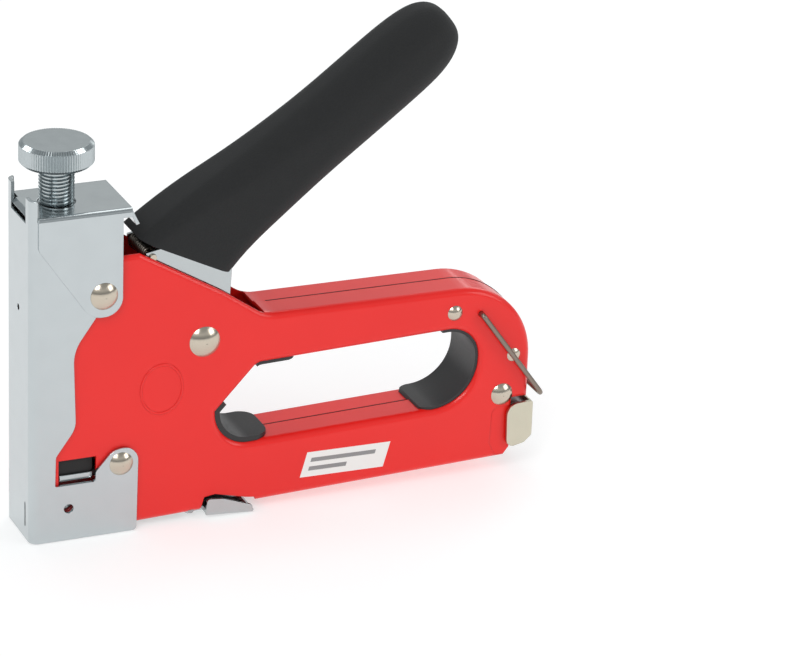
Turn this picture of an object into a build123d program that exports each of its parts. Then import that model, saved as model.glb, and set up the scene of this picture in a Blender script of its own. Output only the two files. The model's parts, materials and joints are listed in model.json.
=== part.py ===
"""Hand-operated staple gun with a sprung striker, a squeeze handle and a rear-loading magazine.

Frame: millimetres, origin at the front lower edge of the nose on the middle plane,
+X to the rear, +Y to the tool's left, +Z up. Every piece is mirror-symmetric about Y = 0.
"""
import os
from math import atan, cos, degrees, radians, sin, tan

from build123d import *

# Driving dimensions ---------------------------------------------------------------------------
SHEET = 1.2                 # body and nose sheet thickness
NOSE_HALF = 13.0            # half width over the nose
NOSE_LENGTH = 37.6          # foot of the nose, front to back
NOSE_TOP = 116.6            # top edge of the nose walls, under the cap plate
POST_TOP = 123.6            # front corners that stand up beside the cap tongue
BODY_HALF = 11.7            # half width over the two pressed shells
BODY_FRONT = 3.4            # front edge of the shells, inside the nose
BODY_REAR = 183.3
BODY_LEDGE = 177.5          # rear edge of the shells below the magazine plate
LEDGE_TOP = 27.6
BAR_TOP = 72.0
BODY_TOP = 100.6
EDGE_ROUND = 2.4            # rounding along the shells' outer edges
SEAM = 0.25                 # half gap between the two shells
SEAM_STEP = 0.5             # the left shell tucks this far inside the right one
BOTTOM_START = 0.5          # height of the body's underside at X = 0
BOTTOM_SLOPE = tan(radians(1.8))

SCREW_X = 13.2              # axis of the power screw, spring and striker
SCREW_R = 6.0
SCREW_PITCH = 1.25
KNOB_R = 12.5
KNOB_LOW = 131.4
KNOB_HIGH = 139.4

PIVOT_X, PIVOT_Z = 61.8, 65.6
ARM_LENGTH = 46.0           # pivot to the rounded tip of the lifting arm
ARM_REST = 27.0             # degrees below level with the handle up
LEVER_HALF = 9.6            # half width over the handle's channel
GRIP_ANGLE = 37.0           # rise of the handle, degrees

HAMMER_LOW = 38.0
HAMMER_TOP = 72.0
CUP_FLOOR = 51.5
CUP_R = 7.6
SEAT_LOW = 103.0
SEAT_TOP = 107.0
COIL_R = 5.8
WIRE_R = 1.0
COILS = 8

CHANNEL_HALF = 10.3         # half width of the fixed magazine channel
CHANNEL_RISE = 20.2         # its top above the body's underside
RAIL_HALF = 5.5
RAIL_RISE = 14.0
ROD_RISE = 16.6
PLATE_HALF = 13.0
PLATE_REAR = 184.6

BAIL_X, BAIL_Z = 163.6, 62.0
BAIL_LENGTH = 41.0
BAIL_DROP = 54.0            # degrees below level
BAIL_WIRE_R = 0.9
BAIL_HALF = 13.9
STOP_X, STOP_Z = 176.8, 44.7

LATCH_X, LATCH_Z = 58.0, 2.7

# name: (X, Z, shank radius, head radius, head height, half width over what it clamps)
RIVETS = {
    "cap_rivet": (25.1, 88.0, 2.4, 4.8, 1.9, 14.25),
    "nose_rivet": (32.0, 25.5, 1.9, 4.2, 1.7, NOSE_HALF),
    "pivot_rivet": (PIVOT_X, PIVOT_Z, 3.0, 5.5, 2.1, BODY_HALF),
    "frame_rivet": (153.8, 63.5, 1.6, 2.8, 1.3, BODY_HALF),
    "rear_rivet": (173.0, 30.2, 1.9, 4.1, 1.7, BODY_HALF),
    "bail_stop_rivet": (STOP_X, STOP_Z, 1.5, 2.5, 0.9, BODY_HALF),
}
SPACERS = {"nose_rivet": 2.6, "frame_rivet": 3.0, "rear_rivet": 2.6, "bail_stop_rivet": 2.6}
FIT = 0.05                  # radial clearance of pins in their holes

os.makedirs("parts", exist_ok=True)


def save(builder, name):
    """Label one finished piece and write it to its own STEP file."""
    builder.part.label = name
    export_step(builder.part, f"parts/{name}.step")


def underside(x, rise=0.0):
    """Height of a line parallel to the sloping underside of the body."""
    return BOTTOM_START + BOTTOM_SLOPE * x + rise


def side_plane(y):
    """Sketch plane facing -Y at the given Y."""
    return Plane.XZ.offset(-y)


def band(points, low, high, corner=0.0):
    """A straight-sided solid between two values of Y, from an outline in X and Z."""
    with BuildPart() as made:
        with BuildSketch(side_plane(high)):
            with BuildLine():
                Polyline(*points, close=True)
            make_face()
            if corner:
                fillet(vertices(), corner)
        extrude(amount=high - low)
    return made.part


def rounded_band(corners, low, high):
    """As band, but each corner is (X, Z, radius), and a radius of 0 leaves it sharp."""
    with BuildPart() as made:
        with BuildSketch(side_plane(high)):
            with BuildLine():
                FilletPolyline(*[(x, z) for x, z, _ in corners], radius=[corner[2] for corner in corners], close=True)
            make_face()
        extrude(amount=high - low)
    return made.part


def cross_pin(x, z, radius, half):
    """A cylinder across the tool."""
    with BuildPart() as made:
        with BuildSketch(side_plane(half)):
            with Locations((x, z)):
                Circle(radius)
        extrude(amount=2 * half)
    return made.part


def mirrored(solid):
    """The same solid on the other side of the middle plane."""
    return mirror(solid, about=Plane.XZ)


# Body shells -----------------------------------------------------------------------------------
def body_outline(grow):
    """Side outline of a shell, grown or shrunk by an offset."""
    with BuildSketch() as made:
        with BuildLine():
            Polyline(
                (BODY_FRONT, 1.4), (BODY_FRONT, BODY_TOP), (38.7, BODY_TOP), (68.4, 83.1), (84.0, BAR_TOP + 0.4),
                (BODY_REAR, BAR_TOP - 0.4), (BODY_REAR, LEDGE_TOP), (BODY_LEDGE, LEDGE_TOP),
                (BODY_LEDGE, 9.0), (175.2, underside(175.2)), (30.0, underside(30.0)), (20.0, 1.4),
                close=True,
            )
        make_face()
        corner = made.vertices().filter_by(lambda v: v.X > 182 and v.Y > 60)
        fillet(corner, 28.0)
        soft = made.vertices().filter_by(lambda v: 60 < v.X < 90 and v.Y > 60)
        fillet(soft, 12.0)
        if grow:
            offset(amount=grow, kind=Kind.INTERSECTION)
    return made.sketch


def finger_opening(grow):
    """Outline of the hole that the fingers go through, grown or shrunk by an offset."""
    with BuildSketch() as made:
        with BuildLine():
            Polyline((81.5, 54.6), (66.6, 38.6), (66.6, 25.4), (163.5, 28.3), (163.5, 57.2), close=True)
        make_face()
        order = made.vertices().sort_by(Axis.X)
        fillet(order[:2].sort_by(Axis.Y)[:1], 12.0)
        rear = made.vertices().sort_by(Axis.X)[-2:].sort_by(Axis.Y)
        fillet(rear[:1], 17.0)
        rear_top = made.vertices().filter_by(lambda v: v.X > 163.4).sort_by(Axis.Y)[-1:]
        fillet(rear_top, 11.0)
        front = made.vertices().filter_by(lambda v: 80 < v.X < 83 and v.Y > 50)
        fillet(front, 4.0)
        if grow:
            offset(amount=grow, kind=Kind.ARC)
    return made.sketch


def half_body(grow, half, rounding):
    """The right half of the body as one solid block with a rounded outer face."""
    with BuildPart() as made:
        with BuildSketch(side_plane(-SEAM)):
            add(body_outline(grow))
            add(finger_opening(-grow), mode=Mode.SUBTRACT)
        extrude(amount=half - SEAM)
        outer = made.faces().sort_by(Axis.Y)[0].edges()
        fillet(outer, rounding)
    return made.part


def insert_ring(inner, outer, half):
    """A closed ring along the finger opening, between two offsets of its outline."""
    with BuildPart() as made:
        with BuildSketch(side_plane(half)):
            add(finger_opening(outer))
            add(finger_opening(inner), mode=Mode.SUBTRACT)
        extrude(amount=2 * half)
    return made.part


def rounded_plan(low, high, radius):
    """An upright block between two values of X, rounded at its corners as seen from above."""
    with BuildPart() as made:
        with BuildSketch(Plane.XY):
            with Locations(((low + high) / 2, 0)):
                RectangleRounded(high - low, 20.7, radius)
        extrude(amount=90)
    return made.part


REAR_ZONE = band([(141.0, 24.0), (170.0, 24.0), (170.0, 61.0), (150.0, 61.0), (150.0, 45.0)], -12, 12)
REAR_ZONE = REAR_ZONE & rounded_plan(141.0, 175.0, 6.0)
FRONT_ZONE = band([(60.0, 20.0), (87.0, 20.0), (87.0, 34.0), (72.0, 40.5), (60.0, 40.5)], -12, 12)
FRONT_ZONE = FRONT_ZONE & rounded_plan(55.0, 87.0, 6.0)
TOP_ZONE = band([(81.5, 52.0), (96.0, 52.0), (96.0, 62.0), (81.5, 62.0)], -12, 12)
TOP_ZONE = TOP_ZONE & rounded_plan(75.0, 96.0, 4.0)
INSERT_SEAT = insert_ring(-0.6, 1.65, 10.4) & (REAR_ZONE + FRONT_ZONE + TOP_ZONE)

# The flanges are missing at the front, over the handle's slot, under the nose and behind the rail.
FLANGE_GAPS = [
    band([(0, -2), (5.5, -2), (5.5, 104), (0, 104)], -10.5, 10.5),
    band([(0, 96), (37, 96), (66, 79), (83.5, 69), (83.5, 104), (0, 104)], -10.5, 10.5),
    band([(0, -2), (84.0, -2), (84.0, underside(84, 1.9)), (0, underside(84, 1.9))], -10.5, 10.5),
    band([(172, underside(172, 1.3)), (188, underside(188, 1.3)), (188, 26.4), (172, 26.4)], -10.5, 10.5),
]
WINDOW = band([(10.2, 19.0), (23.5, 19.0), (23.5, 29.0), (10.2, 29.0)], -12, 12)
LATCH_NOTCH = band([(60.1, -1), (62.6, 7.6), (66.5, 8.2), (77.6, 5.4), (80.9, 4.9), (83.6, -1)], -12, 12)


GAUGE_HOLE = (13.4, 11.6)
PLATE_POCKET = rounded_band([(169.6, 25.6, 3), (180, 25.6, 0), (180, 7.0, 0), (171.2, 7.0, 0), (169.0, 12.0, 3)],
                            -20, -BODY_HALF + 0.5)


def shell(grow):
    """One pressed shell with its flanges, window, notch and rivet holes, on the right side."""
    block = half_body(grow, BODY_HALF, EDGE_ROUND)
    hollow = half_body(grow - SHEET, BODY_HALF - SHEET, EDGE_ROUND - SHEET)
    with BuildPart() as made:
        add(block)
        add(hollow, mode=Mode.SUBTRACT)
        for gap in FLANGE_GAPS:
            add(gap, mode=Mode.SUBTRACT)
        add(WINDOW, mode=Mode.SUBTRACT)
        add(LATCH_NOTCH, mode=Mode.SUBTRACT)
        add(INSERT_SEAT, mode=Mode.SUBTRACT)
        add(cross_pin(*GAUGE_HOLE, 2.2, 20), mode=Mode.SUBTRACT)
        add(PLATE_POCKET, mode=Mode.SUBTRACT)
        for x, z, shank, head, rise, half in RIVETS.values():
            add(cross_pin(x, z, shank + FIT, 20), mode=Mode.SUBTRACT)
        add(cross_pin(BAIL_X, BAIL_Z, BAIL_WIRE_R + FIT, 20), mode=Mode.SUBTRACT)
        add(cross_pin(LATCH_X, LATCH_Z + 0.3, 1.02, 11.2), mode=Mode.SUBTRACT)
    return made.part


with BuildPart() as body_shell_right:
    add(shell(0.0))
save(body_shell_right, "body_shell_right")

with BuildPart() as body_shell_left:
    add(mirrored(shell(-SEAM_STEP)))
save(body_shell_left, "body_shell_left")



with BuildPart() as rear_grip_insert:
    add(insert_ring(-0.8, 1.6, 10.3) & REAR_ZONE)
save(rear_grip_insert, "rear_grip_insert")

with BuildPart() as front_grip_insert:
    add(insert_ring(-1.6, 1.1, 10.3) & FRONT_ZONE)
save(front_grip_insert, "front_grip_insert")

with BuildPart() as top_grip_insert:
    add(insert_ring(-1.0, 1.1, 10.3) & TOP_ZONE)
save(top_grip_insert, "top_grip_insert")

# Nose and cap ----------------------------------------------------------------------------------
NOSE_SIDE = [
    (-1, 0, 0), (NOSE_LENGTH, 0, 1.5), (38.1, 31.2, 5.2), (29.4, 31.2, 7.0), (23.1, 24.0, 1.5), (22.8, 20.3, 0.8),
    (8.6, 20.3, 0.5), (8.8, 31.2, 3.0), (15.8, 41.0, 8.0), (14.9, 69.0, 14.0), (24.0, 82.0, 6.0), (31.0, 85.4, 2.0),
    (31.0, NOSE_TOP, 0), (2.4, NOSE_TOP, 0), (2.4, POST_TOP, 0), (-1, POST_TOP, 0),
]

with BuildPart() as nose_housing:
    with BuildSketch(Plane.XY):
        with Locations((20.0, 0)):
            Rectangle(40.0, 2 * NOSE_HALF)
        fillet(vertices().group_by(Axis.X)[0], 3.2)
        with BuildLine():
            Polyline((SHEET, -NOSE_HALF + SHEET), (41, -NOSE_HALF + SHEET), (41, NOSE_HALF - SHEET),
                     (SHEET, NOSE_HALF - SHEET), close=True)
        make_face(mode=Mode.SUBTRACT)
    extrude(amount=POST_TOP)
    inner_corners = edges().filter_by(Axis.Z).filter_by(lambda e: 1 < e.center().X < 1.5)
    fillet(inner_corners, 2.0)
    add(rounded_band(NOSE_SIDE, -20, 20), mode=Mode.INTERSECT)
    add(band([(-1, 114.5), (2.5, 114.5), (2.5, 130), (-1, 130)], -7.6, 7.6), mode=Mode.SUBTRACT)
    for name in ("cap_rivet", "nose_rivet"):
        x, z, shank, head, rise, half = RIVETS[name]
        add(cross_pin(x, z, shank + FIT, 20), mode=Mode.SUBTRACT)
    add(cross_pin(*GAUGE_HOLE, 1.7, 20), mode=Mode.SUBTRACT)
    with BuildSketch(Plane.YZ):
        with Locations((0, 82.0)):
            Circle(1.1)
        with Locations((10.6, 14.0), (-6.8, 9.0)):
            SlotOverall(9.0, 1.1, rotation=90)
    extrude(amount=6, mode=Mode.SUBTRACT)
save(nose_housing, "nose_housing")

CAP_PLATE = 1.1
CAP_TOP = 118.0
CAP_HALF = 14.2
CAP_SIDE = [(2.4, CAP_TOP, 0), (2.4, 106.8, 3.0), (20.6, 80.5, 7.0), (31.6, 80.5, 6.4), (31.6, CAP_TOP, 0)]

with BuildPart() as top_cap:
    add(rounded_band(CAP_SIDE, -CAP_HALF, CAP_HALF))
    add(band([(2.4, CAP_TOP - 3), (34.9, CAP_TOP - 3), (34.9, CAP_TOP), (2.4, CAP_TOP)], -CAP_HALF, CAP_HALF))
    top_edges = edges().filter_by(Axis.X).group_by(Axis.Z)[-1]
    fillet(top_edges, 1.6)
    inside = CAP_HALF - CAP_PLATE
    add(band([(0, 70), (40, 70), (40, CAP_TOP - CAP_PLATE), (0, CAP_TOP - CAP_PLATE)], -inside, inside),
        mode=Mode.SUBTRACT)
    add(band([(33.8, CAP_TOP - 0.2), (34.9, CAP_TOP - 0.2), (38.0, 111.4), (36.9, 111.0)], -12.0, 12.0))
    add(band([(2.5, CAP_TOP), (2.5, CAP_TOP - CAP_PLATE), (1.3, 115.6), (0.4, 116.4), (1.6, CAP_TOP)], -7.4, 7.4))
    add(cross_pin(RIVETS["cap_rivet"][0], RIVETS["cap_rivet"][1], RIVETS["cap_rivet"][2] + FIT, 20),
        mode=Mode.SUBTRACT)
    with BuildSketch(Plane.XY.offset(CAP_TOP)):
        with Locations((SCREW_X, 0)):
            Circle(SCREW_R + 0.4)
    extrude(amount=-4, mode=Mode.SUBTRACT)
save(top_cap, "top_cap")

NUT_LOW = 110.6
with BuildPart() as adjuster_nut:
    with BuildSketch(Plane.XY.offset(NUT_LOW)):
        with Locations((SCREW_X, 0)):
            RectangleRounded(17.6, 23.2, 1.5)
            Circle(SCREW_R + FIT, mode=Mode.SUBTRACT)
    extrude(amount=CAP_TOP - CAP_PLATE - NUT_LOW)
save(adjuster_nut, "adjuster_nut")

# Rivets and spacers ----------------------------------------------------------------------------
def rivet(x, z, shank, head, rise, half):
    """A through rivet with a low domed head on each side."""
    dome = (head * head + rise * rise) / (2 * rise)
    with BuildPart() as made:
        with BuildSketch(Plane.XY):
            with BuildLine():
                Line((0, -half - rise), (0, half + rise))
                ThreePointArc((0, half + rise), (head * 0.55, half + rise - dome + (dome**2 - (head * 0.55)**2)**0.5),
                              (head, half))
                Polyline((head, half), (shank, half), (shank, -half), (head, -half))
                ThreePointArc((head, -half), (head * 0.55, -half - rise + dome - (dome**2 - (head * 0.55)**2)**0.5),
                              (0, -half - rise))
            make_face()
        revolve(axis=Axis.Y)
    return made.part.moved(Location((x, 0, z)))


for name, size in RIVETS.items():
    with BuildPart() as one_rivet:
        add(rivet(*size))
    save(one_rivet, name)

with BuildPart() as spacers:
    for name, radius in SPACERS.items():
        x, z, shank, head, rise, half = RIVETS[name]
        add(cross_pin(x, z, radius, 10.4))
        add(cross_pin(x, z, shank + FIT, 12), mode=Mode.SUBTRACT)
save(spacers, "spacers")

# Striker ---------------------------------------------------------------------------------------
HAMMER_FRONT, HAMMER_REAR, HAMMER_HALF = 3.1, 22.4, 9.0
TIP_R = 2.5
TIP_X = PIVOT_X - ARM_LENGTH * cos(radians(ARM_REST))
TIP_Z = PIVOT_Z - ARM_LENGTH * sin(radians(ARM_REST))
BLADE_RIVETS = (41.0, 48.5)

with BuildPart() as hammer:
    with BuildSketch(Plane.XY.offset(HAMMER_LOW)):
        with Locations(((HAMMER_FRONT + HAMMER_REAR) / 2, 0)):
            RectangleRounded(HAMMER_REAR - HAMMER_FRONT, 2 * HAMMER_HALF, 1.5)
    extrude(amount=HAMMER_TOP - HAMMER_LOW)
    with BuildSketch(Plane.XY.offset(CUP_FLOOR)):
        with Locations((SCREW_X, 0)):
            Circle(CUP_R)
    extrude(amount=40, mode=Mode.SUBTRACT)
    add(band([(12.4, TIP_Z - 3.2), (24, TIP_Z - 3.2), (24, TIP_Z + 3.2), (12.4, TIP_Z + 3.2)], -3.6, 3.6),
        mode=Mode.SUBTRACT)
    with BuildSketch(Plane.YZ):
        with Locations(*[(0, z) for z in BLADE_RIVETS]):
            Circle(1.5)
    extrude(amount=5.6, mode=Mode.SUBTRACT)
save(hammer, "hammer")

BLADE_FRONT = 1.6
with BuildPart() as driver_blade:
    with BuildSketch(Plane.YZ.offset(BLADE_FRONT)):
        with BuildLine():
            Polyline((-5.8, 1.2), (5.8, 1.2), (5.8, 34), (8.2, 38), (8.2, 60), (-8.2, 60), (-8.2, 38), (-5.8, 34),
                     close=True)
        make_face()
        with Locations(*[(0, z) for z in BLADE_RIVETS]):
            Circle(1.5, mode=Mode.SUBTRACT)
    extrude(amount=HAMMER_FRONT - BLADE_FRONT)
save(driver_blade, "driver_blade")

with BuildPart() as blade_rivets:
    with BuildSketch(Plane.YZ.offset(BLADE_FRONT)):
        with Locations(*[(0, z) for z in BLADE_RIVETS]):
            Circle(1.5)
    extrude(amount=5.6 - BLADE_FRONT)
save(blade_rivets, "blade_rivets")

with BuildPart() as hammer_bumper:
    add(band([(3.6, 23.2), (22.6, 23.2), (22.6, HAMMER_LOW - 0.6), (3.6, HAMMER_LOW - 0.6)], -10.0, 10.0, 1.2))
save(hammer_bumper, "hammer_bumper")

with BuildPart() as nose_guide:
    add(band([(4.2, 21.7), (24.0, 21.7), (24.0, 23.1), (4.2, 23.1)], -10.1, 10.1))
save(nose_guide, "nose_guide")

# Power screw and spring ------------------------------------------------------------------------
with BuildPart() as spring_seat:
    with BuildSketch(Plane.XY.offset(SEAT_LOW)):
        with Locations((SCREW_X, 0)):
            Circle(7.0)
    extrude(amount=SEAT_TOP - SEAT_LOW)
    chamfer(edges().group_by(Axis.Z)[-1], 1.0)
save(spring_seat, "spring_seat")

THREAD_DEPTH = 0.6
with BuildPart() as power_screw:
    with BuildSketch(Plane.XZ):
        with BuildLine():
            Polyline((0, SEAT_TOP), (SCREW_R - 1, SEAT_TOP), (SCREW_R, SEAT_TOP + 1), (SCREW_R, KNOB_LOW),
                     (KNOB_R - 1.2, KNOB_LOW), (KNOB_R, KNOB_LOW + 1.0), (KNOB_R, KNOB_HIGH - 1.6),
                     (KNOB_R - 1.6, KNOB_HIGH), (0, KNOB_HIGH), close=True)
        make_face()
        ridge = SEAT_TOP + 1.6
        while ridge < KNOB_LOW - 1.4:
            with BuildLine():
                Polyline((SCREW_R, ridge), (SCREW_R - THREAD_DEPTH, ridge + SCREW_PITCH * 0.45),
                         (SCREW_R, ridge + SCREW_PITCH * 0.9), (SCREW_R + 1, ridge + SCREW_PITCH * 0.45), close=True)
            make_face(mode=Mode.SUBTRACT)
            ridge += SCREW_PITCH
    revolve(axis=Axis.Z)
power_screw.part = power_screw.part.moved(Location((SCREW_X, 0, 0)))
save(power_screw, "power_screw")

with BuildPart() as main_spring:
    low, high = CUP_FLOOR + WIRE_R + 0.1, SEAT_LOW - WIRE_R - 0.1
    with BuildLine(Plane((SCREW_X, 0, low))):
        coil = Helix(pitch=(high - low) / COILS, height=high - low, radius=COIL_R)
    with BuildSketch(Plane(origin=coil @ 0, z_dir=coil % 0)):
        Circle(WIRE_R)
    sweep(is_frenet=True)
save(main_spring, "main_spring")

# Handle ----------------------------------------------------------------------------------------
LEVER_SHEET = 1.2
TANG_START, TANG_END = (60.0, 100.5), (136.0, 155.5)    # middle line of the channel inside the foam sleeve
TANG_HALF = 5.8


def beside_tang(point, offset):
    """A point beside the tang's middle line, at right angles to it."""
    return (point[0] - offset * sin(radians(GRIP_ANGLE)), point[1] + offset * cos(radians(GRIP_ANGLE)))


def lever_outline(grow):
    """Side outline of the handle's channel, from the pivot up into the sleeve."""
    high = TANG_HALF + grow
    return [
        (54.6 - grow, 61.0), (46.8 - grow, 90.5), (41.6 - grow, 95.4), (41.2 - grow, 99.4), (47.5, 100.6 + grow),
        beside_tang(TANG_START, high), beside_tang(TANG_END, high), beside_tang(TANG_END, -high),
        (80.0 + grow, 106.0), (72.0 + grow, 92.0), (70.2 + grow, 62.0), (62.0, 57.2 - grow),
    ]


LEVER_INSIDE = [(30, 50), (30, 102), (46.8, 102), (48.8, 99.9), beside_tang(TANG_START, TANG_HALF - LEVER_SHEET),
                beside_tang(TANG_END, TANG_HALF - LEVER_SHEET), (160, 160), (150, 40)]

SPRING_PIN = (43.6, 97.7)

with BuildPart() as lever_arm:
    add(band(lever_outline(0), -LEVER_HALF, LEVER_HALF))
    add(band(LEVER_INSIDE, -LEVER_HALF + LEVER_SHEET, LEVER_HALF - LEVER_SHEET), mode=Mode.SUBTRACT)
    add(cross_pin(PIVOT_X, PIVOT_Z, 3.0 + FIT, 20), mode=Mode.SUBTRACT)
    add(cross_pin(*SPRING_PIN, 1.2 + FIT, 20), mode=Mode.SUBTRACT)
save(lever_arm, "lever_arm")

with BuildPart() as lever_bushing:
    add(cross_pin(PIVOT_X, PIVOT_Z, 4.4, LEVER_HALF - LEVER_SHEET))
    add(cross_pin(PIVOT_X, PIVOT_Z, 3.0 + FIT, 20), mode=Mode.SUBTRACT)
save(lever_bushing, "lever_bushing")

with BuildPart() as lifting_arm:
    with BuildSketch(side_plane(3.0)):
        with Locations((PIVOT_X, PIVOT_Z)):
            Circle(7.6)
        with Locations((TIP_X, TIP_Z)):
            Circle(TIP_R)
        with BuildLine():
            run, rise = -cos(radians(ARM_REST)), -sin(radians(ARM_REST))
            near = (PIVOT_X + 4 * run, PIVOT_Z + 4 * rise)
            Polyline(
                (near[0] - 6.6 * rise, near[1] + 6.6 * run), (near[0] + 6.6 * rise, near[1] - 6.6 * run),
                (TIP_X - 9 * run + 1.7 * rise, TIP_Z - 9 * rise - 1.7 * run), (TIP_X + 1.6 * rise, TIP_Z - 1.6 * run),
                (TIP_X - 1.6 * rise, TIP_Z + 1.6 * run), (TIP_X - 9 * run - 1.7 * rise, TIP_Z - 9 * rise + 1.7 * run),
                close=True,
            )
        make_face()
        with Locations((PIVOT_X, PIVOT_Z)):
            Circle(4.45, mode=Mode.SUBTRACT)
    extrude(amount=6.0)
save(lifting_arm, "lifting_arm")

# centre X, centre Z, half height, half width, corner radius of the foam sleeve, from the front to the tip
GRIP_SECTIONS = [
    (46.0, 85.0, 19.4, 11.6, 5.0), (57.0, 96.4, 17.2, 11.8, 6.0), (68.6, 106.8, 15.2, 12.0, 7.5),
    (82.3, 115.8, 14.0, 12.2, 9.0), (97.5, 126.8, 13.2, 12.4, 10.5), (112.0, 137.2, 12.9, 12.6, 11.0),
    (132.5, 153.0, 13.2, 12.8, 11.4), (141.2, 159.6, 12.6, 12.4, 11.0), (146.6, 164.2, 10.8, 10.8, 9.4),
    (150.0, 166.8, 7.8, 8.0, 6.8), (151.4, 167.8, 4.4, 4.6, 3.8),
]
GRIP_AXIS = (cos(radians(GRIP_ANGLE)), 0, sin(radians(GRIP_ANGLE)))

with BuildPart() as grip_blank:
    for x, z, half_height, half_width, corner in GRIP_SECTIONS:
        with BuildSketch(Plane(origin=(x, 0, z), x_dir=(0, 1, 0), z_dir=GRIP_AXIS)):
            RectangleRounded(2 * half_width, 2 * half_height, corner)
    loft(ruled=True)

GRIP_END = band(
    [(0, 0), (80, 0), (80, 83.5), (74.6, 87.8), (47.0, 99.2), (39.2, 104.4), (38.9, 140), (0, 140)], -20, 20,
)

with BuildPart() as foam_grip:
    add(grip_blank.part)
    add(GRIP_END, mode=Mode.SUBTRACT)
    add(band(lever_outline(0.1), -LEVER_HALF - 0.1, LEVER_HALF + 0.1), mode=Mode.SUBTRACT)
save(foam_grip, "foam_grip")

with BuildPart() as return_pin:
    add(cross_pin(*SPRING_PIN, 1.2, LEVER_HALF + 0.8))
save(return_pin, "return_pin")

RETURN_COIL_R, RETURN_WIRE_R = 1.9, 0.5
RETURN_LENGTH = 14.4
with BuildPart() as return_spring:
    with BuildLine():
        turns = Helix(pitch=1.6, height=RETURN_LENGTH, radius=RETURN_COIL_R,
                      center=(SPRING_PIN[0], -RETURN_LENGTH / 2, SPRING_PIN[1]), direction=(0, 1, 0))
    with BuildSketch(Plane(origin=turns @ 0, z_dir=turns % 0)):
        Circle(RETURN_WIRE_R)
    sweep(is_frenet=True)
save(return_spring, "return_spring")

# Magazine --------------------------------------------------------------------------------------
def slanted(x0, x1, rise0, rise1, low, high):
    """A bar parallel to the body's underside, between two rises above it."""
    outline = [(x0, underside(x0, rise0)), (x1, underside(x1, rise0)), (x1, underside(x1, rise1)),
               (x0, underside(x0, rise1))]
    return band(outline, low, high)


CHANNEL_SHEET = 1.0
with BuildPart() as magazine_channel:
    add(slanted(4.2, 138.0, 2.6, CHANNEL_RISE, -CHANNEL_HALF, CHANNEL_HALF))
    wall = CHANNEL_HALF - CHANNEL_SHEET
    add(slanted(2.0, 152.0, 0, CHANNEL_RISE - CHANNEL_SHEET, -wall, wall), mode=Mode.SUBTRACT)
save(magazine_channel, "magazine_channel")

with BuildPart() as staple_rail:
    add(slanted(4.6, PLATE_REAR - 1.1, 3.4, RAIL_RISE, -RAIL_HALF, RAIL_HALF))
    add(slanted(2.0, 190.0, 0, RAIL_RISE - 1.0, -RAIL_HALF + 1.0, RAIL_HALF - 1.0), mode=Mode.SUBTRACT)
save(staple_rail, "staple_rail")

RAIL_TILT = degrees(atan(BOTTOM_SLOPE))
SLIDE_AXIS = (cos(radians(RAIL_TILT)), 0, sin(radians(RAIL_TILT)))


def along_rail(x0, x1, radius):
    """A round bar parallel to the rail at the height of the pusher rod."""
    with BuildPart() as made:
        start = (x0, 0, underside(x0, ROD_RISE))
        with BuildSketch(Plane(origin=start, x_dir=(0, 1, 0), z_dir=SLIDE_AXIS)):
            Circle(radius)
        extrude(amount=(x1 - x0) / cos(radians(RAIL_TILT)))
    return made.part


BLOCK_FRONT = 166.0
PUSHER_FRONT, PUSHER_REAR = 7.0, 21.0
with BuildPart() as pusher_rod:
    add(along_rail(PUSHER_FRONT + 1, BLOCK_FRONT + 6, 1.5))
save(pusher_rod, "pusher_rod")

with BuildPart() as rail_end_block:
    add(slanted(BLOCK_FRONT, PLATE_REAR - 1.1, RAIL_RISE + 0.05, 18.8, -9.0, 9.0))
    add(along_rail(BLOCK_FRONT - 2, BLOCK_FRONT + 6, 1.55), mode=Mode.SUBTRACT)
save(rail_end_block, "rail_end_block")

with BuildPart() as pusher_spring:
    add(along_rail(PUSHER_REAR + 0.2, BLOCK_FRONT - 0.2, 2.5))
    add(along_rail(PUSHER_REAR - 2, BLOCK_FRONT + 2, 1.7), mode=Mode.SUBTRACT)
save(pusher_spring, "pusher_spring")

with BuildPart() as staple_pusher:
    add(slanted(PUSHER_FRONT, PUSHER_REAR, 6.0, 18.8, -7.0, 7.0))
    add(slanted(0, 30, 0, RAIL_RISE + 0.15, -RAIL_HALF - 0.15, RAIL_HALF + 0.15), mode=Mode.SUBTRACT)
    add(along_rail(PUSHER_FRONT - 3, PUSHER_REAR + 3, 1.6), mode=Mode.SUBTRACT)
save(staple_pusher, "staple_pusher")

PLATE_EAR = [
    (175.2, 9.6, 2.5), (174.8, 26.2, 4.5), (PLATE_REAR, 26.7, 0.8), (PLATE_REAR, 13.6, 1.5), (181.8, 11.0, 1.5),
]
with BuildPart() as rear_plate:
    add(rounded_band(PLATE_EAR, -PLATE_HALF, PLATE_HALF))
    add(band([(170, 0), (PLATE_REAR - 1.1, 0), (PLATE_REAR - 1.1, 40), (170, 40)], -11.9, 11.9), mode=Mode.SUBTRACT)
save(rear_plate, "rear_plate")

# Bail ------------------------------------------------------------------------------------------
DROP = radians(BAIL_DROP)
BAIL_END = (BAIL_X + BAIL_LENGTH * cos(DROP), BAIL_Z - BAIL_LENGTH * sin(DROP))
BAIL_BEND = 3.0
with BuildPart() as bail_wire:
    with BuildLine() as bail_path:
        FilletPolyline(
            (BAIL_X, -9.6, BAIL_Z), (BAIL_X, -BAIL_HALF, BAIL_Z), (BAIL_END[0], -BAIL_HALF, BAIL_END[1]),
            (BAIL_END[0], BAIL_HALF, BAIL_END[1]), (BAIL_X, BAIL_HALF, BAIL_Z), (BAIL_X, 9.6, BAIL_Z),
            radius=[1.2, BAIL_BEND, BAIL_BEND, 1.2],
        )
    with BuildSketch(Plane(origin=(BAIL_X, -9.6, BAIL_Z), z_dir=(0, -1, 0))):
        Circle(BAIL_WIRE_R)
    sweep(path=bail_path.line)
save(bail_wire, "bail_wire")

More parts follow.
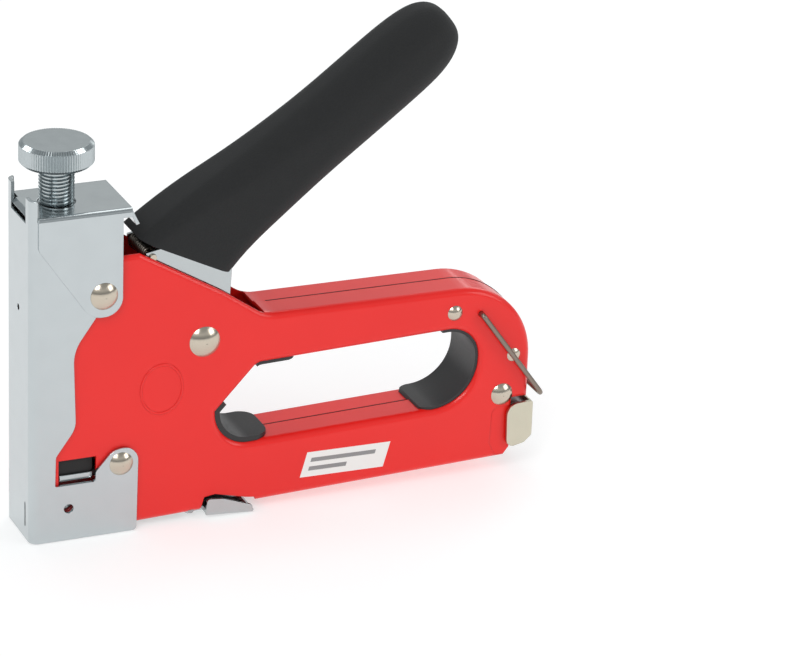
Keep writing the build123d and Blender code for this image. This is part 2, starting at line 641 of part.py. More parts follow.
# Magazine latch --------------------------------------------------------------------------------
with BuildPart() as latch_pin:
    add(cross_pin(LATCH_X, LATCH_Z + 0.3, 1.0, 11.15))
save(latch_pin, "latch_pin")

LATCH_WEB = [
    (56.6, 1.5), (56.6, 3.0), (62, 3.2), (74, 2.4), (79.4, 1.4), (80.4, 0.9), (79.8, 0.1), (74, 1.1), (62, 1.7),
]
LATCH_EAR = [(62.9, 1.3, 0), (63.3, 7.2, 1.2), (68.8, 6.6, 4.0), (79.9, 2.6, 0.9), (79.9, 0.2, 0.5), (70.0, 0.9, 0)]
with BuildPart() as release_latch:
    add(band(LATCH_WEB, -9.0, 9.0))
    add(band([(63.0, 1.62), (63.2, 3.1), (74, 2.4), (79.4, 1.4), (80.4, 0.9), (79.8, 0.1), (74, 1.1)], -13.0, 13.0))
    add(cross_pin(LATCH_X, LATCH_Z + 0.3, 2.0, 9.0))
    add(rounded_band(LATCH_EAR, 12.0, 13.0))
    add(rounded_band(LATCH_EAR, -13.0, -12.0))
    add(cross_pin(LATCH_X, LATCH_Z + 0.3, 1.0 + FIT, 20), mode=Mode.SUBTRACT)
save(release_latch, "release_latch")

print("arm tip at rest", round(TIP_X, 2), round(TIP_Z, 2))
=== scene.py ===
# %% [markdown]
# # A hand staple gun with its finishes
# The tool's working shape comes ready made as a frame of named parts. Here it gets its finishes, the soft
# foam sleeve, the knurled power screw and the small pressed and printed details, under plain studio light.

# %% Load the frame and keep its size
import json
import math

import bpy
from mathutils import Matrix, Vector


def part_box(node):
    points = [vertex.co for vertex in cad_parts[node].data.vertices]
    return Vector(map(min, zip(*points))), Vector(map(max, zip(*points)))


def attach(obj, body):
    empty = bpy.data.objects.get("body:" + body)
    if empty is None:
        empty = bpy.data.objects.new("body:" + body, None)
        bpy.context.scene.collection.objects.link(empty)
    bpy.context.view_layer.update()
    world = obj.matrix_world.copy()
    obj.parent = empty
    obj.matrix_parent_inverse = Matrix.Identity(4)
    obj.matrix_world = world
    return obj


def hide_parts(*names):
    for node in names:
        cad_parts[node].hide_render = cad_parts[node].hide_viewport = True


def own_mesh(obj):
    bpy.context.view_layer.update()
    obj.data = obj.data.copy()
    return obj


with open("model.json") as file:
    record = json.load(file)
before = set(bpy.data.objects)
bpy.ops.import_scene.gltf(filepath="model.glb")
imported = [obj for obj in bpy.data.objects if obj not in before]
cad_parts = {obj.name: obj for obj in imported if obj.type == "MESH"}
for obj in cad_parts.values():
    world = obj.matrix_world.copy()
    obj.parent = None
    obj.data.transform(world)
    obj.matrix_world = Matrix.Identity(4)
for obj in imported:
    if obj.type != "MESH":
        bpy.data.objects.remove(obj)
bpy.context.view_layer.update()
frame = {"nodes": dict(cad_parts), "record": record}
nodes = frame["nodes"]

MM = 0.001

# %% [markdown]
# ## The camera
# A long lens a little over a metre away keeps the tool's sides nearly parallel, as a catalogue view does.
# The camera looks from the nose side and from above, and is rolled by two degrees.

# %% Camera
AZIMUTH = math.radians(-24.01)
ELEVATION = math.radians(23.32)
ROLL = math.radians(2.19)
CAMERA_PLACE = (-0.39934, -1.20723, 0.62499)
LENS_MM, SENSOR_MM = 187.34, 36

back = Vector((math.sin(AZIMUTH) * math.cos(ELEVATION),
               -math.cos(AZIMUTH) * math.cos(ELEVATION),
               math.sin(ELEVATION)))
level_right = Vector((math.cos(AZIMUTH), math.sin(AZIMUTH), 0))
level_up = back.cross(level_right)
right = level_right * math.cos(ROLL) + level_up * math.sin(ROLL)
up = level_up * math.cos(ROLL) - level_right * math.sin(ROLL)

camera_data = bpy.data.cameras.new("camera")
camera_data.lens = LENS_MM
camera_data.sensor_width = SENSOR_MM
camera_data.clip_start = 0.05
camera = bpy.data.objects.new("camera", camera_data)
bpy.context.scene.collection.objects.link(camera)
turn = Matrix((right, up, back)).transposed().to_4x4()
camera.matrix_world = Matrix.Translation(CAMERA_PLACE) @ turn
bpy.context.scene.camera = camera
print("camera stands", round(camera.location.length, 2), "m from the nose")

# %% [markdown]
# ## Floor and light
# Polished metal shows what is around it, so the room matters as much as the lamps. A pale floor, a soft sky that
# darkens towards the horizon and four large lamps give the chrome both bright and darker bands.

# %% Floor, sky and lamps
def deselect():
    """Nothing stays selected, so the next operator acts only on what it makes."""
    if bpy.context.mode != "OBJECT":
        bpy.ops.object.mode_set(mode="OBJECT")
    bpy.ops.object.select_all(action="DESELECT")


def srgb(code):
    """The linear colour of an sRGB hex value such as 'D2201E'."""
    parts = [int(code[i:i + 2], 16) / 255 for i in (0, 2, 4)]
    return [p / 12.92 if p <= 0.04045 else ((p + 0.055) / 1.055) ** 2.4 for p in parts] + [1.0]


def add_node(tree, kind, settings=None, inputs=None):
    """Adds a node, sets its properties, and fills or links its inputs."""
    made = tree.nodes.new(kind)
    for name, value in (settings or {}).items():
        setattr(made, name, value)
    for name, value in (inputs or {}).items():
        if isinstance(value, bpy.types.NodeSocket):
            tree.links.new(value, made.inputs[name])
        else:
            made.inputs[name].default_value = value
    return made


# the floor's width and its gap under the tool, in metres, and the light the paper gives back
FLOOR_SIZE, FLOOR_GAP = 30, 0.0004
PAPER_GLOW = 0.55
# sky colours by height, from 0 at the horizon to 1 overhead
SKY_ENDS = ((0.0, "A6ABAE"), (0.95, "B4B8BA"))
SKY_BANDS = ((0.12, "989EA2"), (0.38, "EEF1F1"), (0.6, "BFC4C6"))
SKY_STRENGTH = 0.8

deselect()
bpy.ops.mesh.primitive_plane_add(size=FLOOR_SIZE, location=(0.1, 0, -FLOOR_GAP))
floor = bpy.context.object
floor.name = "floor"
paper = bpy.data.materials.new("white paper sweep")
paper.use_nodes = True
paper_shader = paper.node_tree.nodes["Principled BSDF"]
paper_shader.inputs["Base Color"].default_value = srgb("C4C4C4")
paper_shader.inputs["Roughness"].default_value = 0.9
paper_shader.inputs["Emission Color"].default_value = srgb("FFFFFF")
paper_shader.inputs["Emission Strength"].default_value = PAPER_GLOW
floor.data.materials.append(paper)

world = bpy.data.worlds.new("studio")
bpy.context.scene.world = world
world.use_nodes = True
sky = world.node_tree
sky.nodes.clear()
ray = add_node(sky, "ShaderNodeTexCoord")
split = add_node(sky, "ShaderNodeSeparateXYZ", inputs={"Vector": ray.outputs["Generated"]})
ramp = add_node(sky, "ShaderNodeValToRGB", inputs={"Fac": split.outputs["Z"]})
for index, (height, tone) in enumerate(SKY_ENDS):
    ramp.color_ramp.elements[index].position = height
    ramp.color_ramp.elements[index].color = srgb(tone)
for height, tone in SKY_BANDS:
    ramp.color_ramp.elements.new(height).color = srgb(tone)
shine = add_node(sky, "ShaderNodeBackground",
                 inputs={"Color": ramp.outputs["Color"], "Strength": SKY_STRENGTH})
add_node(sky, "ShaderNodeOutputWorld", inputs={"Surface": shine.outputs["Background"]})


def lamp(name, place, size, power):
    """A white, square, soft lamp at a place, aimed at the middle of the tool."""
    light = bpy.data.lights.new(name, "AREA")
    light.shape = "SQUARE"
    light.size = size
    light.energy = power
    holder = bpy.data.objects.new(name, light)
    bpy.context.scene.collection.objects.link(holder)
    holder.location = place
    holder.rotation_euler = (TOOL_MIDDLE - Vector(place)).to_track_quat("-Z", "Y").to_euler()


TOOL_MIDDLE = Vector((0.09, 0, 0.08))
lamp("key lamp", (-0.75, -1.1, 1.3), size=0.8, power=11)
lamp("fill lamp", (1.2, -0.9, 0.7), size=0.7, power=4)
lamp("top lamp", (0.2, 0.5, 1.6), size=1.0, power=5)
lamp("back lamp", (1.3, 1.3, 0.9), size=0.8, power=4)
bpy.context.scene.view_settings.view_transform = "Standard"

# %% [markdown]
# ## Finishes
# Each finish is named for what the real surface is. They read the piece's own coordinates, so a pattern stays on
# the metal wherever the piece moves, and each pattern's size is worked out in millimetres.

# %% Shared parts of a finish
def new_finish(name):
    """An empty material and its shader."""
    finish = bpy.data.materials.new(name)
    finish.use_nodes = True
    return finish, finish.node_tree, finish.node_tree.nodes["Principled BSDF"]


def grain(tree, size_mm, detail):
    """Noise whose blotches are about size_mm across."""
    place = add_node(tree, "ShaderNodeTexCoord")
    return add_node(tree, "ShaderNodeTexNoise", inputs={
        "Vector": place.outputs["Object"], "Scale": 1 / (size_mm * MM), "Detail": detail})


def spread(tree, source, low, high):
    """Maps a pattern from 0..1 onto low..high."""
    return add_node(tree, "ShaderNodeMapRange", inputs={"Value": source, "To Min": low, "To Max": high})


def worn_edge(tree, radius_mm):
    """The normal of the surface with its edges rounded over by a small radius."""
    return add_node(tree, "ShaderNodeBevel", {"samples": 4}, {"Radius": radius_mm * MM})


# the Mix node's colour sockets go by number, because its other sockets share their names
MIX_A, MIX_B, MIX_RESULT = 6, 7, 2


def two_tone(tree, shader, factor, first, second):
    """A base colour that wanders between two colours with a pattern."""
    blend = add_node(tree, "ShaderNodeMix", {"data_type": "RGBA"}, {"Factor": factor})
    blend.inputs[MIX_A].default_value = first
    blend.inputs[MIX_B].default_value = second
    tree.links.new(blend.outputs[MIX_RESULT], shader.inputs["Base Color"])


def darker(code, share):
    """A colour with each channel brought down to a share of itself."""
    return [share * channel for channel in srgb(code)[:3]] + [1.0]


def roughness_between(tree, shader, source, low, high):
    """Roughness that follows a pattern from low to high."""
    tree.links.new(spread(tree, source, low, high).outputs["Result"], shader.inputs["Roughness"])


def relief(tree, shader, height, strength, depth_mm, edge_mm=None):
    """Fine relief from a pattern, over rounded edges where edge_mm is given."""
    inputs = {"Strength": strength, "Distance": depth_mm * MM, "Height": height}
    if edge_mm is not None:
        inputs["Normal"] = worn_edge(tree, edge_mm).outputs["Normal"]
    made = add_node(tree, "ShaderNodeBump", inputs=inputs)
    tree.links.new(made.outputs["Normal"], shader.inputs["Normal"])
    return made


def plain(name, colour, roughness):
    """One even colour and roughness, such as printing ink or painted shade."""
    finish = new_finish(name)[0]
    shader = finish.node_tree.nodes["Principled BSDF"]
    shader.inputs["Base Color"].default_value = srgb(colour)
    shader.inputs["Roughness"].default_value = roughness
    return finish


# %% Metals
def metal(name, colour, rough_low, rough_high, grain_mm=0.8, bump=0.02, edge_mm=0.25):
    """A bare or plated metal: uneven polish, fine relief and slightly rounded edges."""
    finish, tree, shader = new_finish(name)
    shader.inputs["Metallic"].default_value = 1.0
    polish = grain(tree, grain_mm * 6, 3.0)
    fine = grain(tree, grain_mm, 2.0)
    cloud = spread(tree, polish.outputs["Fac"], 0.0, 0.5)
    two_tone(tree, shader, cloud.outputs["Result"], srgb(colour), darker(colour, 0.86))
    roughness_between(tree, shader, polish.outputs["Fac"], rough_low, rough_high)
    relief(tree, shader, fine.outputs["Fac"], bump, 0.1, edge_mm)
    return finish


chrome = metal("bright chrome plate", "C3C9CB", 0.10, 0.22, grain_mm=1.2, bump=0.03, edge_mm=0.35)
lever_chrome = metal("chrome-plated pressing", "BEC3C4", 0.12, 0.24, bump=0.04)
screw_chrome = metal("chrome-plated turned steel", "BBC2C4", 0.14, 0.24, grain_mm=0.5, bump=0.04, edge_mm=0.15)
nickel = metal("nickel-plated rivet", "CBC0B0", 0.14, 0.26, grain_mm=0.5, bump=0.03, edge_mm=0.1)
zinc = metal("zinc-plated steel", "A9ABAD", 0.28, 0.42, bump=0.08)
yellow_zinc = metal("passivated zinc plate", "D0CBB8", 0.26, 0.36, bump=0.05, edge_mm=0.3)
tool_steel = metal("hardened tool steel", "6D6E70", 0.3, 0.45, bump=0.1)
spring_wire = metal("drawn spring wire", "8D857C", 0.25, 0.4, grain_mm=0.4, bump=0.05)
bail_steel = metal("drawn steel wire", "8F8379", 0.26, 0.42, grain_mm=0.6, bump=0.08)

# %% Enamel, plastic, rubber and foam
def painted(name, colour, shade):
    """Stoved enamel: a clear glossy skin over colour, with the faint waviness of sprayed paint."""
    finish, tree, shader = new_finish(name)
    cloud = grain(tree, 30, 2.0)
    two_tone(tree, shader, cloud.outputs["Fac"], srgb(colour), srgb(shade))
    shader.inputs["Roughness"].default_value = 0.4
    shader.inputs["Specular IOR Level"].default_value = 0.3
    shader.inputs["Coat Weight"].default_value = 0.45
    shader.inputs["Coat Roughness"].default_value = 0.12
    peel = grain(tree, 1.6, 1.0)
    ripple = relief(tree, shader, peel.outputs["Fac"], 0.06, 0.1, edge_mm=0.5)
    tree.links.new(ripple.outputs["Normal"], shader.inputs["Coat Normal"])
    return finish


def moulded(name, colour, roughness, grain_mm, bump):
    """Plastic, rubber or foam: one dark colour, a matt skin and a grain of its own."""
    finish, tree, shader = new_finish(name)
    blotch = grain(tree, 9 * grain_mm, 3.0)
    fine = grain(tree, grain_mm, 4.0)
    two_tone(tree, shader, blotch.outputs["Fac"], srgb(colour), darker(colour, 0.75))
    roughness_between(tree, shader, fine.outputs["Fac"], roughness - 0.06, roughness + 0.06)
    relief(tree, shader, fine.outputs["Fac"], bump, 0.15)
    return finish


red_enamel = painted("stoved red enamel", "EE1C15", "E4140F")
black_plastic = moulded("moulded black plastic", "262728", 0.42, 0.7, 0.12)
black_rubber = moulded("moulded black rubber", "1E1E1E", 0.7, 0.5, 0.2)
foam = moulded("black foam rubber", "191A1B", 0.88, 0.55, 0.55)
foam.node_tree.nodes["Principled BSDF"].inputs["Sheen Weight"].default_value = 0.05
foam.node_tree.nodes["Principled BSDF"].inputs["Sheen Roughness"].default_value = 0.6

FINISHES = {
    "red_paint": red_enamel, "bright_chrome": chrome, "chrome_screw": screw_chrome,
    "lever_chrome": lever_chrome, "zinc_steel": zinc, "zinc_plate": yellow_zinc,
    "dark_steel": tool_steel, "spring_steel": spring_wire,
    "bail_steel": bail_steel, "nickel_rivets": nickel, "black_plastic": black_plastic,
    "black_rubber": black_rubber, "black_foam": foam,
}
for part in frame["record"]["subparts"]:
    piece = nodes[part["node"]]
    for place in piece.material_slots:
        place.material = FINISHES[part["material_slot"]]
print("finishes given to", len(nodes), "parts")

# %% [markdown]
# ## The foam sleeve
# The real handle is a steel channel pushed into a sleeve of black foam. One ring is extruded from the front to the
# tip, and each ring's points are then set to a rounded rectangle of the sleeve's height and width there. The last
# rings shrink to round the end. The front is cut on a slant.

# %% Rings of the sleeve, extruded along its axis
GRIP_ANGLE = math.radians(37.0)
# centre X, centre Z, half height, half width and corner radius, in millimetres, from the front to the tip
SLEEVE = [
    (46.0, 85.0, 19.4, 11.6, 5.0), (57.0, 96.4, 17.2, 11.8, 6.0), (68.6, 106.8, 15.2, 12.0, 7.5),
    (82.3, 115.8, 14.0, 12.2, 9.0), (97.5, 126.8, 13.2, 12.4, 10.5), (112.0, 137.2, 12.9, 12.6, 11.0),
    (132.5, 153.0, 13.2, 12.8, 11.4), (141.2, 159.6, 12.6, 12.4, 11.0), (146.6, 164.2, 10.8, 10.8, 9.4),
    (150.0, 166.8, 7.8, 8.0, 6.8), (151.4, 167.8, 4.4, 4.6, 3.8),
]
RING = 32
# only holds the rings apart until their points are set
BLANK = 0.01


def along_grip(x, z):
    """Distance along the grip's axis and across it, downwards, of a point in the tool's side view."""
    along = x * math.cos(GRIP_ANGLE) + z * math.sin(GRIP_ANGLE)
    across = x * math.sin(GRIP_ANGLE) - z * math.cos(GRIP_ANGLE)
    return along * MM, across * MM


def ring_point(step, section):
    """One point of a rounded rectangle, counted round from the corner nearest its first side."""
    x, z, half_height, half_width, corner = section
    along, across = along_grip(x, z)
    angle = 2 * math.pi * (step + 0.5) / RING
    flat_height = math.copysign(half_height - corner, math.cos(angle))
    flat_width = math.copysign(half_width - corner, math.sin(angle))
    return (across + (flat_height + corner * math.cos(angle)) * MM,
            (flat_width + corner * math.sin(angle)) * MM, along)


deselect()
bpy.ops.mesh.primitive_circle_add(vertices=RING, radius=BLANK, location=(0, 0, 0))
sleeve = bpy.context.object
sleeve.name = "foam_sleeve"
bpy.ops.object.mode_set(mode="EDIT")
bpy.ops.mesh.select_all(action="SELECT")
for section in SLEEVE[1:]:
    bpy.ops.mesh.extrude_region_move(TRANSFORM_OT_translate={"value": (0, 0, BLANK)})
bpy.ops.object.mode_set(mode="OBJECT")
for index, vertex in enumerate(sleeve.data.vertices):
    vertex.co = ring_point(index % RING, SLEEVE[index // RING])
bpy.ops.object.mode_set(mode="EDIT")
bpy.ops.mesh.edge_face_add()
bpy.ops.mesh.poke()
bpy.ops.object.mode_set(mode="OBJECT")
sleeve.rotation_euler = (0, math.pi / 2 - GRIP_ANGLE, 0)
bpy.ops.object.transform_apply(location=True, rotation=True, scale=True)
print("sleeve rings:", len(SLEEVE), "faces:", len(sleeve.data.polygons))

# %% Cut the slanted front, round it over and smooth the sleeve
def apply_modifier(piece, kind, name, **settings):
    """Adds a modifier, sets it and applies it."""
    deselect()
    piece.select_set(True)
    bpy.context.view_layer.objects.active = piece
    made = piece.modifiers.new(name, kind)
    for key, value in settings.items():
        setattr(made, key, value)
    bpy.ops.object.modifier_apply(modifier=made.name)


def outward(piece):
    """Turns every face of a closed piece outwards."""
    deselect()
    piece.select_set(True)
    bpy.context.view_layer.objects.active = piece
    bpy.ops.object.mode_set(mode="EDIT")
    bpy.ops.mesh.select_all(action="SELECT")
    bpy.ops.mesh.remove_doubles(threshold=0.00001)
    bpy.ops.mesh.normals_make_consistent(inside=False)
    bpy.ops.object.mode_set(mode="OBJECT")


apply_modifier(sleeve, "SUBSURF", "round", levels=2, render_levels=2)
# the lower and upper ends of the slanted cut; what lies in front of it goes
CUT_LOW, CUT_HIGH = Vector((0.0756, 0, 0.0866)), Vector((0.0380, 0, 0.1048))
EDGE_ROUND = 0.0009
cut_line = (CUT_HIGH - CUT_LOW).normalized()
cut_normal = Vector((-cut_line.z, 0, cut_line.x))
bpy.ops.object.mode_set(mode="EDIT")
bpy.ops.mesh.select_all(action="SELECT")
bpy.ops.mesh.bisect(plane_co=CUT_LOW, plane_no=cut_normal, use_fill=True, clear_outer=True)
bpy.ops.object.mode_set(mode="OBJECT")
apply_modifier(sleeve, "BEVEL", "soft edge", width=EDGE_ROUND, segments=3, limit_method="ANGLE",
               angle_limit=math.radians(50))
outward(sleeve)
deselect()
sleeve.select_set(True)
bpy.context.view_layer.objects.active = sleeve
bpy.ops.object.shade_smooth_by_angle(angle=math.radians(40))
sleeve.data.materials.append(foam)
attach(sleeve, "handle")
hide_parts("foam_grip")
print("sleeve triangles:", sum(len(p.vertices) - 2 for p in sleeve.data.polygons))

# %% [markdown]
# ## The power screw
# A knurled knob and a coarse thread set how hard the gun strikes. The knob starts as a cylinder with two upright
# edges to each knurl, and every second edge is drawn in. The thread is one V turned by the Screw modifier.

# %% The knurled knob
SCREW_X = 0.0132
KNOB_R, KNOB_LOW, KNOB_HIGH = 0.0125, 0.1314, 0.1394
KNURLS = 84
RIM = 0.0012
KNURL_DRAW = 0.958
RIM_DRAW, RIM_INSET = 0.9, 0.0008
deselect()
bpy.ops.mesh.primitive_cylinder_add(vertices=2 * KNURLS, radius=KNOB_R,
                                    depth=KNOB_HIGH - KNOB_LOW - 2 * RIM,
                                    location=(0, 0, (KNOB_LOW + KNOB_HIGH) / 2))
knob = bpy.context.object
knob.name = "power_knob"
bpy.ops.object.transform_apply(location=True, rotation=True, scale=True)
bpy.ops.object.mode_set(mode="EDIT")
bpy.ops.mesh.select_all(action="DESELECT")
bpy.ops.object.mode_set(mode="OBJECT")
for vertex in knob.data.vertices:
    angle = math.atan2(vertex.co.y, vertex.co.x)
    vertex.select = round(angle / (math.pi / KNURLS)) % 2 == 0
bpy.ops.object.mode_set(mode="EDIT")
bpy.ops.mesh.select_mode(type="VERT")
bpy.ops.transform.resize(value=(KNURL_DRAW, KNURL_DRAW, 1), center_override=(0, 0, 0))
bpy.ops.mesh.select_mode(type="FACE")
for side in (1, -1):
    bpy.ops.mesh.select_all(action="DESELECT")
    bpy.ops.object.mode_set(mode="OBJECT")
    for face in knob.data.polygons:
        face.select = face.normal.z * side > 0.9
    bpy.ops.object.mode_set(mode="EDIT")
    bpy.ops.mesh.extrude_region_move(TRANSFORM_OT_translate={"value": (0, 0, side * RIM)})
    bpy.ops.transform.resize(value=(RIM_DRAW, RIM_DRAW, 1), center_override=(0, 0, 0))
    bpy.ops.mesh.inset(thickness=RIM_INSET)
bpy.ops.object.mode_set(mode="OBJECT")
print("knob faces:", len(knob.data.polygons))

# %% The thread and shank
PITCH = 0.00125
THREAD_R, THREAD_ROOT = 0.006, 0.0053
SHANK_LOW = 0.107
# the shank runs this far up into the knob, and fills the thread's root by a hair
SHANK_LAP, ROOT_FILL = 0.002, 0.0001
deselect()
bpy.ops.mesh.primitive_plane_add(size=1)
thread = bpy.context.object
thread.name = "power_thread"
for vertex, place in zip(thread.data.vertices, [(THREAD_ROOT, 0, 0), (THREAD_R, 0, PITCH / 2),
                                                 (THREAD_ROOT, 0, PITCH), (0, 0, 0)]):
    vertex.co = place
bpy.ops.object.mode_set(mode="EDIT")
bpy.ops.mesh.select_all(action="DESELECT")
bpy.ops.object.mode_set(mode="OBJECT")
thread.data.vertices[3].select = True
bpy.ops.object.mode_set(mode="EDIT")
bpy.ops.mesh.delete(type="VERT")
bpy.ops.object.mode_set(mode="OBJECT")
print("thread profile edges:", len(thread.data.edges))
turns = int((KNOB_LOW - SHANK_LOW) / PITCH) - 1
apply_modifier(thread, "SCREW", "thread", axis="Z", steps=40, render_steps=40, iterations=turns,
               screw_offset=PITCH, use_merge_vertices=True, merge_threshold=0.00002, use_normal_calculate=True)
thread.location = (0, 0, SHANK_LOW)
bpy.ops.object.transform_apply(location=True, rotation=False, scale=False)
deselect()
bpy.ops.mesh.primitive_cylinder_add(vertices=64, radius=THREAD_ROOT + ROOT_FILL,
                                    depth=KNOB_LOW - SHANK_LOW + SHANK_LAP,
                                    location=(0, 0, (KNOB_LOW + SHANK_LOW + SHANK_LAP) / 2))
shank = bpy.context.object
shank.name = "power_shank"
for piece in (knob, thread, shank):
    deselect()
    piece.select_set(True)
    bpy.context.view_layer.objects.active = piece
    piece.location.x += SCREW_X
    bpy.ops.object.transform_apply(location=True, rotation=True, scale=True)
    bpy.ops.object.shade_smooth_by_angle(angle=math.radians(25))
    piece.data.materials.clear()
    piece.data.materials.append(screw_chrome)
    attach(piece, "screw")
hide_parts("power_screw")
print("thread turns:", turns)

# %% [markdown]
# ## Small printed and pressed details
# A plain slanted panel with two bars stands in for the print on the lower bar. It is a film a few hundredths of a
# millimetre thick, laid on the paint. A plain raised oval ring stands in for the pressed mark on the side.

# %% The printed panel
SIDE_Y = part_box("body_shell_right")[0][1]
FILM = 0.00004


def printed(name, corners, finish, layer):
    """A thin flat film on the near side of the body, from corners in X and Z in millimetres."""
    deselect()
    bpy.ops.mesh.primitive_plane_add(size=1)
    film = bpy.context.object
    film.name = name
    for vertex, (x, z) in zip(film.data.vertices, corners):
        vertex.co = (x * MM, SIDE_Y - layer * FILM, z * MM)
    apply_modifier(film, "SOLIDIFY", "film", thickness=FILM, offset=0)
    outward(film)
    film.data.materials.append(finish)
    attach(film, "frame")


white_ink = plain("white printing ink", "EDEBE8", 0.4)
grey_ink = plain("grey printing ink", "8D8C8C", 0.4)
SLANT = 0.28
PANEL_TILT = math.tan(math.radians(-0.8))


def slanted_panel(left, low, width, height):
    """Corners of a leaning panel, in the order a plane's vertices take."""
    return [(left + SLANT * rise + along, low + rise + PANEL_TILT * along)
            for rise, along in ((0, 0), (0, width), (height, 0), (height, width))]


printed("printed_panel", slanted_panel(97.6, 9.6, 31.0, 9.2), white_ink, 1)
printed("printed_bar_upper", slanted_panel(101.4, 15.0, 24.0, 1.5), grey_ink, 2)
printed("printed_bar_lower", slanted_panel(100.6, 11.8, 14.0, 1.5), grey_ink, 2)

# %% The pressed oval on the side
OVAL_X, OVAL_Z = 0.0466, 0.0503
OVAL_R, OVAL_WIRE_R = 0.0074, 0.0005

deselect()
bpy.ops.mesh.primitive_torus_add(location=(OVAL_X, SIDE_Y, OVAL_Z), rotation=(math.pi / 2, 0, 0),
                                 major_radius=OVAL_R, minor_radius=OVAL_WIRE_R,
                                 major_segments=72, minor_segments=10)
oval = bpy.context.object
oval.name = "pressed_oval"
oval.scale = (1.0, 1.2, 0.36)
bpy.ops.object.transform_apply(location=True, rotation=True, scale=True)
bpy.ops.object.shade_smooth()
oval.data.materials.append(red_enamel)
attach(oval, "frame")
print("oval reaches", round((SIDE_Y - min(v.co.y for v in oval.data.vertices)) / MM, 2), "mm out")

# %% [markdown]
# ## The springs
# Both coil springs are a small ring of wire turned by the Screw modifier. The main coil is hung on the seat and
# the pusher's coil on the magazine, each at one fixed length, though in the tool the main spring shortens upwards
# as the striker lifts and the pusher's spring shortens to the rear as the pusher is drawn back.

# %% Two coils of spring wire
def coil(name, wire_r, coil_r, pitch, turns, steps, place, lean):
    """A coil in millimetres that starts at place and runs up, leaning over by an angle towards +X."""
    deselect()
    bpy.ops.mesh.primitive_circle_add(vertices=8, radius=wire_r * MM,
                                      location=(coil_r * MM, 0, 0),
                                      rotation=(math.pi / 2, 0, 0))
    made = bpy.context.object
    made.name = name
    bpy.ops.object.transform_apply(location=True, rotation=True, scale=True)
    apply_modifier(made, "SCREW", "turns", axis="Z", steps=steps, render_steps=steps, iterations=turns,
                   screw_offset=pitch * MM, use_normal_calculate=True)
    bpy.ops.object.mode_set(mode="EDIT")
    bpy.ops.mesh.select_all(action="SELECT")
    bpy.ops.mesh.fill_holes(sides=0)
    bpy.ops.object.mode_set(mode="OBJECT")
    outward(made)
    made.rotation_euler = (0, lean, 0)
    made.location = [value * MM for value in place]
    bpy.ops.object.transform_apply(location=True, rotation=True, scale=True)
    bpy.ops.object.shade_smooth_by_angle(angle=math.radians(50))
    made.data.materials.clear()
    made.data.materials.append(spring_wire)
    return made


SPRING_LOW, SPRING_HIGH, MAIN_TURNS = 52.6, 101.9, 8
main_coil = coil("main_coil", 1.0, 5.8, (SPRING_HIGH - SPRING_LOW) / MAIN_TURNS, MAIN_TURNS, 28,
                 (SCREW_X / MM, 0, SPRING_LOW), 0)
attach(main_coil, "seat")
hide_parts("main_spring")
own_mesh(main_coil)

RAIL_TILT = math.radians(1.8)
ROD_START_X, ROD_END_X, PUSHER_TURNS = 21.7, 165.3, 60
ROD_Z = 17.1 + math.tan(RAIL_TILT) * ROD_START_X
rod_length = (ROD_END_X - ROD_START_X) / math.cos(RAIL_TILT)
pusher_coil = coil("pusher_coil", 0.38, 2.1, rod_length / PUSHER_TURNS, PUSHER_TURNS, 14,
                   (ROD_START_X, 0, ROD_Z), math.pi / 2 - RAIL_TILT)
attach(pusher_coil, "magazine")
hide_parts("pusher_spring")
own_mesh(pusher_coil)
print("coil faces:", len(main_coil.data.polygons), len(pusher_coil.data.polygons))

# %% [markdown]
# ## The seam between the shells
# The flanges of the two shells meet along the middle of both bars. A thin dark strip of painted shade sits in
# the joint and stands in for the shadow in the gap. Each line is one small section drawn along the flange, and the
# upper one bends down with the rear of its bar.

# %% Dark lines in the seam
SEAM_NEAR, SEAM_FAR, SEAM_DEEP, SEAM_PROUD = -0.32, 0.24, 0.5, 0.03
BAR_FRONT, BAR_REAR, BAR_FRONT_Z, BAR_REAR_Z = 88.0, 155.5, 72.37, 71.82
REAR_ROUND = 28.0
ARC_STEPS = 14

REAR_SWEEP = 75
# painted shade: a dark colour on a strip, standing in for the shadow in the seam's gap
painted_seam_shade = plain("painted shade in the seam", "4A0F10", 0.8)


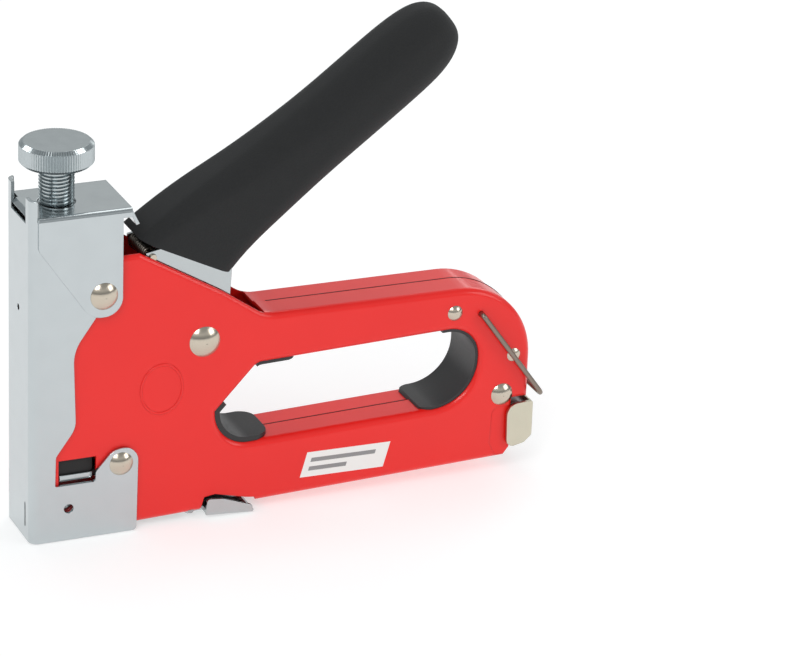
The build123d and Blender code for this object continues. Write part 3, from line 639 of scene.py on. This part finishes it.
def seam_line(name, path):
    """A thin strip along path. Each point is X, Z and the outward direction there, in degrees up from +X."""
    deselect()
    bpy.ops.mesh.primitive_circle_add(vertices=4, radius=0.001, location=(0, 0, 0), fill_type="NGON")
    strip = bpy.context.object
    strip.name = name
    bpy.ops.object.mode_set(mode="EDIT")
    bpy.ops.mesh.select_all(action="SELECT")
    for _ in path[1:]:
        bpy.ops.mesh.extrude_region_move(TRANSFORM_OT_translate={"value": (0, 0, 0.001)})
    bpy.ops.object.mode_set(mode="OBJECT")
    section = [(SEAM_NEAR, -SEAM_DEEP), (SEAM_FAR, -SEAM_DEEP),
               (SEAM_FAR, SEAM_PROUD), (SEAM_NEAR, SEAM_PROUD)]
    for index, vertex in enumerate(strip.data.vertices):
        x, z, facing = path[index // 4]
        y, rise = section[index % 4]
        vertex.co = ((x + rise * math.cos(math.radians(facing))) * MM, y * MM,
                     (z + rise * math.sin(math.radians(facing))) * MM)
    outward(strip)
    strip.data.materials.append(painted_seam_shade)
    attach(strip, "frame")


upper = [(BAR_FRONT, BAR_FRONT_Z, 90), (BAR_REAR, BAR_REAR_Z, 90)]
for step in range(1, ARC_STEPS + 1):
    facing = 90 - REAR_SWEEP * step / ARC_STEPS
    upper.append((BAR_REAR + REAR_ROUND * math.cos(math.radians(facing)),
                  BAR_REAR_Z - REAR_ROUND + REAR_ROUND * math.sin(math.radians(facing)), facing))
seam_line("seam_line_upper", upper)
seam_line("seam_line_lower", [(86.5, 26.0, 90), (142.0, 27.66, 90)])
print("seam line points:", len(upper))

# %% [markdown]
# ## Window strip
# A bright strip closes the lower part of the nose's side window, as the folded lip of the magazine does.

# %% Window strip
def block(name, low, high, round_mm, finish, body):
    """A box between two corners in millimetres, with rounded edges."""
    deselect()
    middle_mm = [(a + b) / 2 * MM for a, b in zip(low, high)]
    bpy.ops.mesh.primitive_cube_add(size=1, location=middle_mm)
    made = bpy.context.object
    made.name = name
    made.scale = [(b - a) * MM for a, b in zip(low, high)]
    bpy.ops.object.transform_apply(location=True, rotation=True, scale=True)
    apply_modifier(made, "BEVEL", "edges", width=round_mm * MM, segments=2)
    bpy.ops.object.shade_smooth_by_angle(angle=math.radians(35))
    made.data.materials.append(finish)
    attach(made, body)
    return made


window_strip = block("window_strip", (10.8, -11.0, 20.7), (22.4, -10.4, 23.2), 0.2, lever_chrome, "frame")
print("window strip:", window_strip.name)
